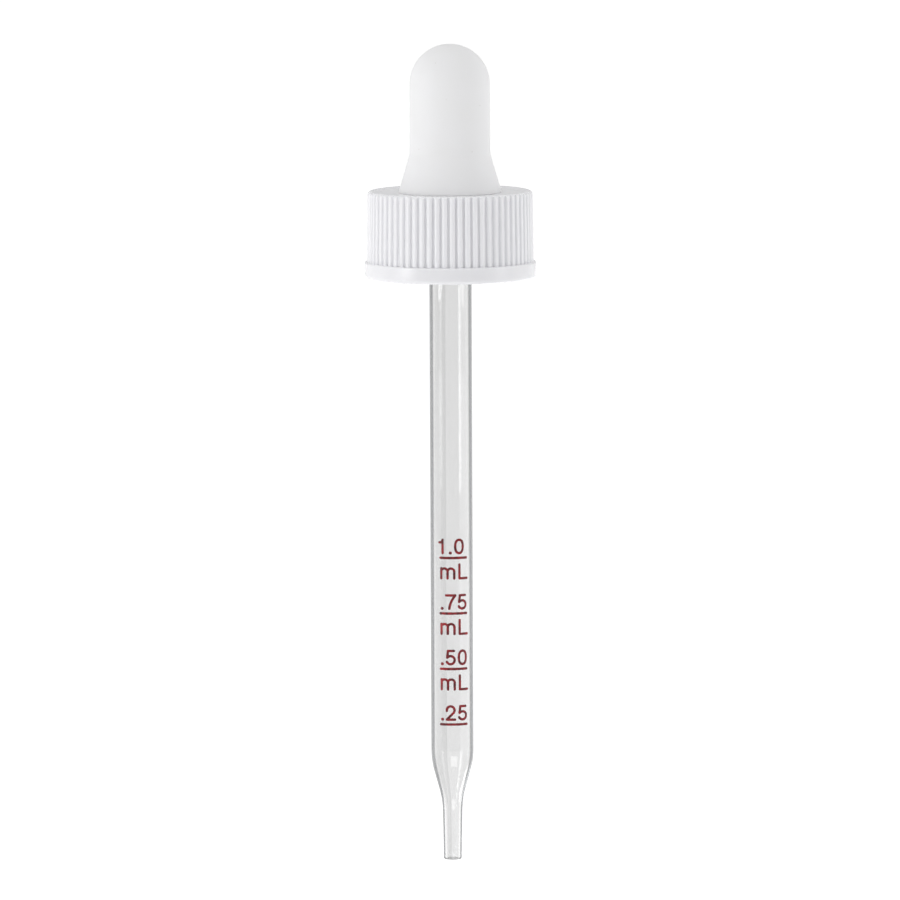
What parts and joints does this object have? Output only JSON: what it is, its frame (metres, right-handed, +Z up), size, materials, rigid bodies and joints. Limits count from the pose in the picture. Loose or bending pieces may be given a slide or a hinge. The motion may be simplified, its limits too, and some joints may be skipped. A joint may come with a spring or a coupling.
{
  "type": "medicine dropper",
  "caption": "Medicine dropper for a screw-necked bottle: rubber squeeze bulb, ribbed screw cap and a graduated glass pipette drawn to a narrow tip.",
  "frame": {"origin": "on the dropper's axis, in the plane where the bottle's lip seals against the bulb's flange", "axes": "+Z up the axis, from the pipette's tip to the bulb's dome; the printed scale faces -Y"},
  "size_m": [0.0282, 0.0282, 0.1349],
  "materials": {
    "moulded_polypropylene": "white moulded polypropylene, semi-gloss, fine vertical ribs",
    "bulb_rubber": "white moulded rubber, smooth and matte",
    "clear_glass": "clear drawn glass tube, fire-polished",
    "red_enamel": "crimson ceramic ink, screen printed and fired on"
  },
  "bodies": {
    "cap": {"screw_cap": "moulded_polypropylene"},
    "pipette": {"pipette": "clear_glass", "mark_0.25_ml": "red_enamel", "mark_0.50_ml": "red_enamel", "mark_0.75_ml": "red_enamel", "mark_1.00_ml": "red_enamel"},
    "bulb": {"bulb": "bulb_rubber"}
  },
  "joints": [
    {"name": "cap_swivel", "type": "hinge", "parent": "cap", "child": "pipette", "pos_m": [0, 0, 0], "axis": [0, 0, 1], "continuous": true},
    {"name": "bulb_squeeze", "type": "slide", "parent": "pipette", "child": "bulb", "axis": [0, 0, -1], "range_m": [0, 0.008], "stiffness_N_per_m": 500, "deforming": ["bulb"]}
  ]
}
